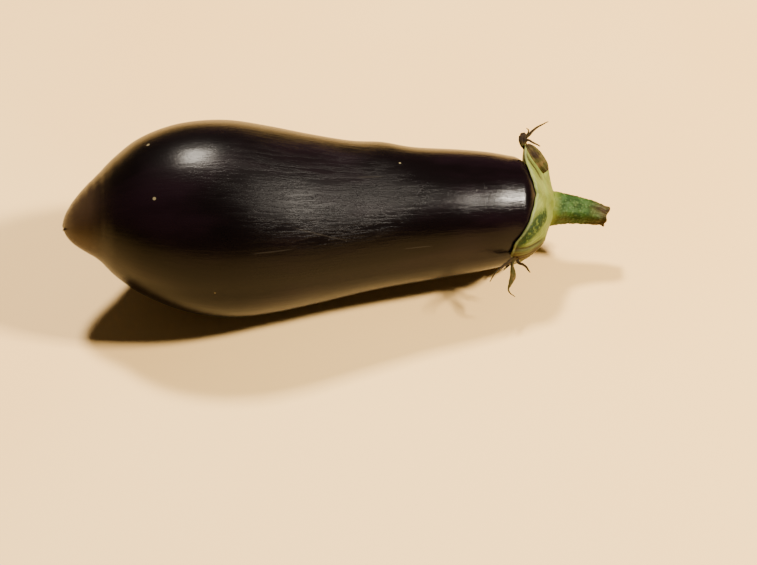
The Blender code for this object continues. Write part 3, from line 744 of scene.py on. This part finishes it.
def make_cap_material():
    made, tree, shader = new_material("calyx_flesh")
    here = add(tree, "TexCoord", {}).outputs["Object"]
    grain = stored(tree, "grain", "Vector")
    patches = cloud(here, scale=110.0, limits=(0.35, 0.65))
    fibres = fibrous(grain, 0.12, 1.5, limits=(0.38, 0.62))
    base = mixed(patches, FRESH, FRESH_LIGHT)
    base = mixed(times(fibres, 0.45), base, FRESH_DEEP)
    strip = times(stored(tree, "strip"), eased(fibres, 0.75, 1.0))
    base = mixed(strip, base, mixed(times(fibres, 0.6), STRAW, BROWN))
    spots = cloud(here, scale=620.0, roughness=0.6, limits=(0.33, 0.50))
    band = between(stored(tree, "band"), 0.05, 0.6)
    base = mixed(times(band, 0.7), base, FRESH_DEEP)
    base = mixed(times(band, spots), base, SPOT_GREEN)
    dry = times(stored(tree, "tip"), eased(patches, 0.5, 1.0))
    base = mixed(dry, base, mixed(fibres, STRAW, BROWN))
    # Painted shade darkens the grooves and the fold line
    base = mixed(times(stored(tree, "groove"), 0.9), base, GROOVE_SHADE)
    base = mixed(times(stored(tree, "rim"), 0.6), base, RIM_PALE)
    dull = eased(patches, 0.50, 0.66)
    surface(shader, base, dull, plus(fibres, spots), depth=0.08, strength=0.6, shine=0.15)
    shader.inputs["Subsurface Weight"].default_value = 0.12
    shader.inputs["Subsurface Radius"].default_value = (0.0012, 0.0016, 0.0005)
    shader.inputs["Subsurface Scale"].default_value = 1.0
    return made


new_piece("calyx_cap", cap_shape, make_cap_material(), "calyx")

# %% [markdown]
# ## Withered ends
# Each lobe ends in what is left of a sepal: a dry leaflet, a curl, some threads. They are spindles swept
# along given paths, measured out from the lobe's tip, onward along the lobe and sideways. Ridges and a
# little wander keep them from looking like tubing.

# %% Paths of the withered ends
ENDS = {
    "raised": (
        ("pouch", ((-0.2, -1.3, 2.4), (0.4, -3.8, 3.8), (1.3, -7.2, 4.8), (2.2, -10.8, 5.4),
                   (3.2, -14.4, 5.6)),
         (3.0, 4.6, 5.6, 6.0, 6.1, 6.1, 5.6, 3.6), (2.6, 4.4, 5.5, 5.9, 5.9, 5.8, 5.2, 3.2)),
        ("knob", ((-0.6, -1.8, 0.4), (-0.9, 0.2, 0.9), (-0.4, 2.2, 1.1), (0.2, 3.5, 1.0), (0.4, 4.6, 0.9)),
         (2.4, 2.6, 3.4, 3.6, 2.0), (2.4, 2.8, 3.6, 3.6, 2.0)),
        ("thread", ((0.2, 2.4, 1.2), (1.1, 2.4, 1.8), (2.5, 2.8, 2.0), (4.3, 3.8, 2.0), (7.4, 4.7, 2.0),
                    (9.9, 5.1, 2.0), (12.6, 5.2, 2.0)),
         (1.5, 1.3, 1.0, 0.7, 0.35), (1.4, 1.2, 0.9, 0.7, 0.35)),
        ("thread", ((0.0, 0.6, 1.4), (1.2, 0.9, 2.4), (2.4, -0.5, 3.0), (3.8, -1.9, 3.0), (5.2, -3.3, 3.0)),
         (1.4, 1.0, 0.8, 0.5), (1.2, 1.0, 0.8, 0.5)),
        ("thread", ((0.4, 3.0, 1.2), (1.8, 3.2, 1.8), (2.7, 4.1, 2.0), (3.1, 4.9, 2.0), (2.5, 6.0, 2.0)),
         (1.3, 0.9, 0.6, 0.3), (1.1, 0.9, 0.6, 0.3)),
    ),
    "front": (
        ("leaflet", ((-0.2, -3.2, 1.5), (0.4, -1.6, 2.2), (1.9, -0.3, 2.8), (4.4, 0.3, 3.9), (6.6, 0.8, 5.2),
                     (8.8, 2.5, 6.7), (10.6, 4.0, 7.8), (12.2, 3.7, 9.0), (13.4, 1.6, 10.7)),
         (1.8, 1.6, 1.4, 2.5, 2.8, 1.9, 0.8, 0.5, 0.3), (0.9, 1.0, 0.9, 0.7, 0.7, 0.7, 0.5, 0.4, 0.3)),
        ("thread", ((0.0, -2.4, 0.8), (0.6, -0.6, 1.7), (1.6, 1.8, 2.4), (2.8, 4.2, 1.9), (4.6, 7.5, 1.4),
                    (6.4, 10.2, 2.1), (8.0, 12.2, 3.6)),
         (1.6, 2.0, 2.2, 1.6, 0.9, 0.6, 0.3), (0.9, 1.2, 1.3, 1.1, 0.7, 0.5, 0.3)),
        ("thread", ((-0.6, -3.9, 2.2), (0.4, -3.5, 2.9), (1.8, -3.7, 3.7), (3.2, -4.9, 3.3), (4.6, -6.3, 4.1),
                    (6.0, -7.6, 6.2)),
         (1.3, 1.4, 1.2, 1.1, 0.9, 0.4), (0.9, 1.0, 1.0, 0.9, 0.7, 0.4)),
    ),
    "under_front": (
        ("leaflet", ((-0.1, -2.4, 0.0), (0.6, 0.6, 0.3), (0.9, 2.8, 0.8), (0.6, 5.0, 1.6)),
         (1.6, 2.0, 1.3, 0.4), (1.0, 0.9, 0.8, 0.4)),
        ("thread", ((-0.1, -2.6, -0.6), (0.7, -0.4, -1.8), (1.0, 1.4, -3.6)),
         (1.4, 0.9, 0.4), (1.0, 0.8, 0.4)),
    ),
    "under_back": (
        ("leaflet", ((-0.1, -2.4, 0.0), (0.6, 0.8, -0.4), (0.9, 3.6, -1.4), (0.5, 6.0, -1.2)),
         (1.6, 2.2, 1.3, 0.4), (1.0, 0.9, 0.8, 0.4)),
    ),
    "back": (
        ("leaflet", ((-0.2, -2.8, 0.0), (1.4, 0.0, -0.6), (3.0, 3.0, -0.8), (2.8, 6.4, 0.2), (4.2, 9.0, 1.2)),
         (1.8, 2.2, 2.4, 1.3, 0.4), (1.0, 0.9, 0.8, 0.8, 0.4)),
        ("thread", ((-0.2, -3.0, 0.8), (1.8, -1.4, 2.8), (3.4, 0.4, 5.0)), (1.5, 0.9, 0.4), (1.1, 0.8, 0.4)),
    ),
}
# How many ridges run along each kind, how deep they are, how far it wanders, how brown it is from root to
# tip, and how far it is hollowed on one side
KINDS = {"pouch": (7, 0.05, 0.20, (0.75, 0.45, 0.20, 0.15, 0.25, 0.6), 0.30),
         "knob": (4, 0.08, 0.10, (0.35, 0.4, 0.8, 0.9, 0.9), 0.35),
         "leaflet": (2, 0.10, 0.15, (0.45, 0.5, 0.25, 0.3, 0.5, 0.8), 0.0),
         "thread": (3, 0.12, 0.15, (0.55, 0.7, 0.6, 0.6), 0.0)}
END_SIDES, STEPS_PER_MM, TIP_STEP, OVERRUN = 28, 3.5, 2.0, 0.3
WANDER_SIZE, FUZZ, FUZZ_SIZE = 2.4, 0.06, 0.9
HOLLOW_SPREAD, RIM_TURN, RIM_SPREAD, RIM_RISE, HOLLOW_SHADE = 40.0, 68.0, 17.0, 0.5, 0.7
HOLLOW_MIDDLE, HOLLOW_LENGTH = {"pouch": 0.42, "knob": 0.75}, {"pouch": 0.16, "knob": 0.2}


def lobe_frame(name):
    """The tip of a lobe with three directions: out from the fruit, on along the lobe, and sideways."""
    direction = LOBES[name][0]
    theta = np.array([direction] * 2)
    reach = margin(theta) - np.array([TIP_STEP, 0.0])
    before, tip = cap_point(reach, np.full(2, CLEARANCE + TIP_LIFT + MARGIN_THICKNESS / 2), theta)
    onward = unit(tip - before)
    sideways = np.cross(AXIS, radial(direction))
    out = np.cross(sideways, onward)
    if np.dot(out, AXIS + radial(direction)) < 0:
        out = -out
    return tip, out, onward, sideways


def spread_over(at, values):
    return np.interp(at, np.linspace(0, 1, len(values)), values)


def withered(path, widths, depths, flat, side, kind, seed):
    """One dry end, with its tone and its grain for the material. It may be hollowed towards one side."""
    ridges, ridge_depth, wander, tones, hollow = KINDS[kind]
    span = lengths(path)[-1]
    count = int(span * STEPS_PER_MM) + 8
    line = through(path, count)
    at = np.linspace(0, 1, count)
    wobble = np.stack([rough(line, WANDER_SIZE, seed + k) for k in (0.0, 11.0, 23.0)], axis=-1)
    line = line + wander * np.minimum(1, at * 4)[:, None] * wobble
    half_width, half_depth = spread_over(at, widths) / 2, spread_over(at, depths) / 2
    turn = np.arange(END_SIDES) * 2 * math.pi / END_SIDES
    rings, opened = [], []
    for i, p in enumerate(line):
        forward = unit(line[min(i + 1, count - 1)] - line[max(i - 1, 0)])
        wide = unit(np.cross(forward, flat))
        deep = np.cross(wide, forward)
        facing = math.degrees(math.atan2(side @ deep, side @ wide))
        off = np.abs(near_angle(np.degrees(turn), facing))
        mouth = hollow * math.sin(math.pi * at[i]) ** 0.6
        fold = (1 + ridge_depth * np.cos(ridges * turn + seed + 1.5 * at[i])
                + mouth * (RIM_RISE * bell(off - RIM_TURN, RIM_SPREAD) - bell(off, HOLLOW_SPREAD)))
        rings.append(p + (half_width[i] * np.cos(turn) * fold)[:, None] * wide
                     + (half_depth[i] * np.sin(turn) * fold)[:, None] * deep)
        opened.append(bell(off, HOLLOW_SPREAD))
    rings = np.array(rings)
    away = (rings - line[:, None]) / half_width[:, None, None]
    rings = rings + FUZZ * rough(rings, FUZZ_SIZE, seed)[..., None] * away
    start = line[0] - OVERRUN * (line[1] - line[0])
    end = line[-1] + OVERRUN * (line[-1] - line[-2])
    # Painted shade: the hollowed side of the pouch and the knob is darkened in the tone
    shaded = HOLLOW_SHADE * bell(at - HOLLOW_MIDDLE[kind], HOLLOW_LENGTH[kind]) if hollow else 0 * at
    tone = spread_over(at, tones)[:, None] + shaded[:, None] * np.array(opened)
    grain = np.stack([at[:, None] * span + 0 * turn, 3 * np.cos(turn) + 0 * at[:, None],
                      3 * np.sin(turn) + 0 * at[:, None]], axis=-1)
    marks = {"tone": with_ends(tone), "grain": with_ends(grain)}
    return np.vstack([start, rings.reshape(-1, 3), end]), loft_faces(count, END_SIDES), marks


def build_ends():
    points, faces, tones, grains = [], [], [], []
    for name, ends in ENDS.items():
        tip, out, onward, sideways = lobe_frame(name)
        for number, (kind, path, widths, depths) in enumerate(ends):
            world = np.array([tip + a * out + b * onward + c * sideways for a, b, c in path])
            runs_out = abs(path[-1][0] - path[0][0]) > abs(path[-1][1] - path[0][1])
            flat = sideways if runs_out else out
            seed = number + LOBES[name][0]
            made, links, marks = withered(world, widths, depths, flat, sideways, kind, seed)
            faces += [[corner + len(points) for corner in face] for face in links]
            points += made.tolist()
            tones += marks["tone"].tolist()
            grains += marks["grain"].tolist()
    return points, faces, {"tone": tones, "grain": grains}


ends_shape = build_ends()
print("withered ends:", sum(len(ends) for ends in ENDS.values()))

# %% [markdown]
# ## Straw, olive and brown
# Dry tissue keeps some green where it is thick and turns brown and then nearly black where it is thin or
# bruised. A tone stored along each end picks the colour, and fibres along the grain break it up. Inside the
# hollow of the pouch and the knob the tone also carries painted shade.

# %% Material of the withered ends
OLIVE = colour(0.050, 0.043, 0.008)
TAN = colour(0.105, 0.066, 0.018)
NEAR_BLACK = colour(0.018, 0.011, 0.007)


def make_dry_material():
    made, tree, shader = new_material("withered_tips")
    here = add(tree, "TexCoord", {}).outputs["Object"]
    grain = stored(tree, "grain", "Vector")
    tone = stored(tree, "tone")
    fibres = fibrous(grain, 0.35, 1.6, detail=4.0, limits=(0.36, 0.64))
    blotches = cloud(here, scale=330.0, limits=(0.38, 0.62))
    light = mixed(blotches, OLIVE, TAN)
    dark = mixed(blotches, BROWN, NEAR_BLACK)
    share = plus(between(tone, 0.1, 0.95), times(fibres, 0.45))
    share = between(maths("SUBTRACT", share, 0.2), 0.0, 1.0)
    dull = eased(fibres, 0.6, 0.8)
    surface(shader, mixed(share, light, dark), dull, plus(fibres, blotches),
            depth=0.12, strength=0.8, shine=0.08)
    return made


withered_tips = make_dry_material()
new_piece("dry_ends", ends_shape, withered_tips, "calyx")

# %% [markdown]
# ## The stub at the blossom end
# The flower's style leaves a tiny dry stub at the very tip of the fruit. It is made like a thread, rooted
# inside the skin, and leans out of it.

# %% Build the stub
STUB_STATION, STUB_RADIUS, STUB_DIRECTION, STUB_LENGTH, STUB_WIDTH = 1.2, 3.6, 72.0, 2.0, 0.9
STUB_LEAN, STUB_CURL, STUB_DARKER = 0.5, 0.3, 0.4


def build_stub():
    root = place(STUB_STATION, STUB_RADIUS, STUB_DIRECTION)
    leaning = unit(radial(STUB_DIRECTION) - STUB_LEAN * AXIS)
    path = [root + STUB_LENGTH * t * leaning - STUB_CURL * t * t * AXIS for t in (-0.3, 0.1, 0.5, 0.8)]
    widths = [STUB_WIDTH * w for w in (1.0, 1.0, 0.8, 0.5)]
    points, faces, marks = withered(np.array(path), widths, widths, OVER, OVER, "thread", 3.0)
    return points, faces, marks | {"tone": marks["tone"] + STUB_DARKER}


new_piece("style_stub", build_stub(), withered_tips, "fruit")

# %% [markdown]
# ## The stalk
# The stalk is short, thick and ribbed, covered in small pale warts, and browned where it was cut. Warts are
# scattered over it by chance, but always the same chance: the generator is given a fixed seed. Each wart is
# a small bell of height on the mesh and a pale dot in the colour.

# %% Build the stalk
STALK_LENGTH, STALK_SINK, STALK_GAP = 24.3, 0.5, 0.3
STALK_BASE_RADIUS, STALK_END_RADIUS, STALK_TAPER = 7.2, 4.3, 0.9
FOOT_FLARE, FOOT_FLARE_FADE = 0.8, 9.0
STALK_BEND, STALK_BEND_DIRECTION = 4.6, 108.0
STALK_FLUTES, STALK_FLUTE_DEPTH, STALK_FLUTE_TURN = 5, 0.35, 0.5
STALK_SIDES, STALK_RINGS = 180, 170
WARTS, WART_RISE, WART_RADIUS, WART_SCALES = 620, 0.17, 0.50, (0.6, 1.3)
DRIED_FROM, DRIED_BY, DRIED_WANDER, FOOT_GREEN = 0.62, 0.98, 0.07, 0.15
LUMP_RISE, DRY_LUMP_RISE, CRUMB_RISE, STALK_GRAIN = 0.25, 0.12, 0.3, 6.0
END_SHRINK, END_SHRINK_AT, END_SHRINK_LENGTH = 0.5, 0.93, 0.05
END_RAGGED, END_RAGGED_POWER, END_RAGGED_TURN = 0.4, 8, 1.0
# Rings of the cut face: share of the stalk's radius, how deep it is sunk, and how corky it is
CUT_RINGS = ((0.95, -0.05, 0.5), (0.86, 0.1, 0.8), (0.72, 0.4, 1.0), (0.5, 0.8, 1.0), (0.25, 0.9, 1.0))


def stalk_surface(share, theta):
    """Radius of the stalk without its warts."""
    taper = STALK_BASE_RADIUS + (STALK_END_RADIUS - STALK_BASE_RADIUS) * share ** STALK_TAPER
    flare = FOOT_FLARE * np.exp(-share * FOOT_FLARE_FADE)
    flutes = STALK_FLUTE_DEPTH * np.cos(STALK_FLUTES * np.radians(theta) + STALK_FLUTE_TURN)
    return taper + flare + flutes - END_SHRINK * bell(share - END_SHRINK_AT, END_SHRINK_LENGTH)


def stalk_point(share, radius, theta, sink=0.0):
    """A point of the stalk. Its foot is sunk a little into the cap, so that no gap shows."""
    lean = 2 * STALK_BEND * share / STALK_LENGTH
    shear = lean * radius * np.cos(np.radians(theta - STALK_BEND_DIRECTION))
    slope = (seat_height(radius / SEAT_RADIUS, theta) - SEAT_HEIGHT) * (1 - share)
    jags = np.sin(np.radians(theta) * STALK_FLUTES + END_RAGGED_TURN)
    ragged = END_RAGGED * share ** END_RAGGED_POWER * jags
    buried = (STALK_SINK + STALK_GAP) * (1 - step_up(share, 0.0, 0.15))
    along = STALK_LENGTH * share - shear + slope + ragged - sink - buried
    bend = (STALK_BEND * share ** 2)[..., None] * radial(STALK_BEND_DIRECTION)
    foot = place(FRUIT_LENGTH + CLEARANCE + SEAT_HEIGHT + STALK_GAP, 0.0, 0.0)
    return foot + along[..., None] * AXIS + bend + radius[..., None] * radial(theta)


def build_stalk():
    chance = np.random.default_rng(12)
    share = np.linspace(0, 1, STALK_RINGS)[:, None] + np.zeros(STALK_SIDES)
    theta = directions(STALK_SIDES) + 0 * share
    radius = stalk_surface(share, theta)
    wart = np.zeros(share.shape)
    for place_along, turn, size in zip(chance.random(WARTS), chance.random(WARTS) * 360,
                                       chance.uniform(*WART_SCALES, WARTS)):
        along = (share - place_along) * STALK_LENGTH
        around = np.radians(near_angle(theta, turn)) * radius
        wart = np.maximum(wart, size * np.exp(-(along ** 2 + around ** 2) / (WART_RADIUS * size) ** 2))
    dried = step_up(share + DRIED_WANDER * np.sin(np.radians(theta) * 3 + 1.0), DRIED_FROM, DRIED_BY)
    points = stalk_point(share, radius, theta)
    lumps = LUMP_RISE * rough(points, 3.0, seed=2.0) + DRY_LUMP_RISE * dried * rough(points, 0.9, seed=6.0)
    points = stalk_point(share, radius + WART_RISE * wart * (1 - 0.7 * dried) + lumps, theta)
    ones = np.ones((1, STALK_SIDES))
    crumbs = CRUMB_RISE * rough(points[-1:], 1.2, seed=4.0)
    end = [stalk_point(ones, scale * radius[-1:] + crumbs, theta[-1:], sink) for scale, sink, _ in CUT_RINGS]
    rings = np.concatenate([points] + end)
    foot, middle = rings[0].mean(axis=0), rings[-1].mean(axis=0)
    pad = np.zeros((len(end), STALK_SIDES))
    corky = np.array([ring[2] for ring in CUT_RINGS])[:, None]
    share = np.concatenate([share, pad + 1])
    turn = np.radians(np.concatenate([theta, pad + theta[0]]))
    grain = [share * STALK_LENGTH, STALK_GRAIN * np.cos(turn), STALK_GRAIN * np.sin(turn)]
    marks = {"wart": np.concatenate([wart, pad]), "dried": np.concatenate([dried, pad + 1]),
             "cut": np.concatenate([0 * theta, pad + corky]), "grain": np.stack(grain, axis=-1),
             "foot": 1 - step_up(share, 0.0, FOOT_GREEN)}
    marks = {name: with_ends(grid) for name, grid in marks.items()}
    return np.vstack([foot, rings.reshape(-1, 3), middle]), loft_faces(len(rings), STALK_SIDES), marks


stalk_shape = build_stalk()
print("stalk ends at x", stalk_shape[0][:, 0].max().round(1), "mm")

# %% [markdown]
# ## Rind of the stalk
# Green in two depths, pale dots on the warts, an olive tinge in patches, brown where it dried, and a
# corky cut face.

# %% Material of the stalk
RIND = colour(0.028, 0.062, 0.009)
RIND_DEEP = colour(0.012, 0.030, 0.004)
RIND_OLIVE = colour(0.050, 0.060, 0.010)
WART_PALE = colour(0.070, 0.105, 0.028)
CORK = colour(0.100, 0.058, 0.024)


def make_rind():
    made, tree, shader = new_material("stalk_rind")
    here = add(tree, "TexCoord", {}).outputs["Object"]
    grain = stored(tree, "grain", "Vector")
    patches = fibrous(grain, 0.20, 0.45, detail=4.0, limits=(0.38, 0.62))
    fibres = fibrous(grain, 0.3, 1.7, limits=(0.38, 0.62))
    base = mixed(patches, RIND, RIND_DEEP)
    olive = cloud(here, scale=70.0, detail=2.0, limits=(0.52, 0.68, 0.0, 0.8))
    base = mixed(olive, base, RIND_OLIVE)
    dots = between(stored(tree, "wart"), 0.55, 1.0, 0.0, 0.5)
    base = mixed(dots, base, WART_PALE)
    base = mixed(times(stored(tree, "foot"), 0.8), base, FRESH)
    dried = times(stored(tree, "dried"), eased(fibres, 0.75, 1.0))
    base = mixed(dried, base, mixed(eased(fibres, 0.35, 1.0), STRAW, BROWN))
    cut = stored(tree, "cut")
    base = mixed(cut, base, mixed(patches, CORK, BROWN))
    dull = eased(patches, 0.55, 0.72)
    surface(shader, base, dull, plus(fibres, patches), depth=0.10, strength=0.6, shine=0.10)
    return made


new_piece("stalk", stalk_shape, make_rind(), "stem")

# %% [markdown]
# ## Floor and light
# A plain pale floor takes the shadow, and also shows up in the gloss along the underside, so its warmth
# matters. One soft lamp stands high behind the fruit on the left, throws the shadow forward and makes the
# bright patch on the belly. One at the front on the right makes the long scuffed gleam.

# %% Floor and lamps
FLOOR_HALF, FLOOR_ROUGHNESS = 4.0, 0.6
FLOOR_PALE = colour(0.880, 0.550, 0.190)
FLOOR_PALER = colour(0.900, 0.600, 0.230)
LAMPS = {"back_left": (105.0, 64.0, 1.6, 0.20, 54.0), "front_right": (-17.0, 41.0, 1.5, 0.17, 68.0)}
LAMP_COLOUR = (1.0, 0.90, 0.76)
ROOM_COLOUR, ROOM_STRENGTH = colour(1.0, 0.82, 0.62), 0.08


def make_floor():
    made, tree, shader = new_material("pale_floor")
    here = add(tree, "TexCoord", {}).outputs["Object"]
    tint = cloud(here, scale=3.0, limits=(0.35, 0.65))
    tree.links.new(mixed(tint, FLOOR_PALE, FLOOR_PALER), shader.inputs["Base Color"])
    shader.inputs["Roughness"].default_value = FLOOR_ROUGHNESS
    corners = [(x * FLOOR_HALF, y * FLOOR_HALF, 0.0) for x, y in ((-1, -1), (1, -1), (1, 1), (-1, 1))]
    mesh = bpy.data.meshes.new("floor")
    mesh.from_pydata(corners, [], [(0, 1, 2, 3)])
    mesh.materials.append(made)
    floor = put_in("floor", mesh)


def make_lamp(name, azimuth, elevation, distance, size, power):
    """A square soft lamp that looks at the middle of the fruit. Azimuth counts from +X towards +Y."""
    data = bpy.data.lights.new(name, "AREA")
    data.size = size
    data.energy = power
    data.color = LAMP_COLOUR
    lamp = put_in(name, data)
    turn, rise = math.radians(azimuth), math.radians(elevation)
    towards = Vector((math.cos(turn) * math.cos(rise), math.sin(turn) * math.cos(rise), math.sin(rise)))
    lamp.location = Vector(place(AIM_STATION, 0.0, 0.0) * MM) + towards * distance
    lamp.rotation_euler = towards.to_track_quat("Z", "Y").to_euler()


make_floor()
for lamp_name, lamp_values in LAMPS.items():
    make_lamp(lamp_name, *lamp_values)
world = bpy.data.worlds.new("room")
world.use_nodes = True
air = world.node_tree.nodes["Background"].inputs
air["Color"].default_value = ROOM_COLOUR
air["Strength"].default_value = ROOM_STRENGTH
bpy.context.scene.world = world
print("lamps:", list(LAMPS))
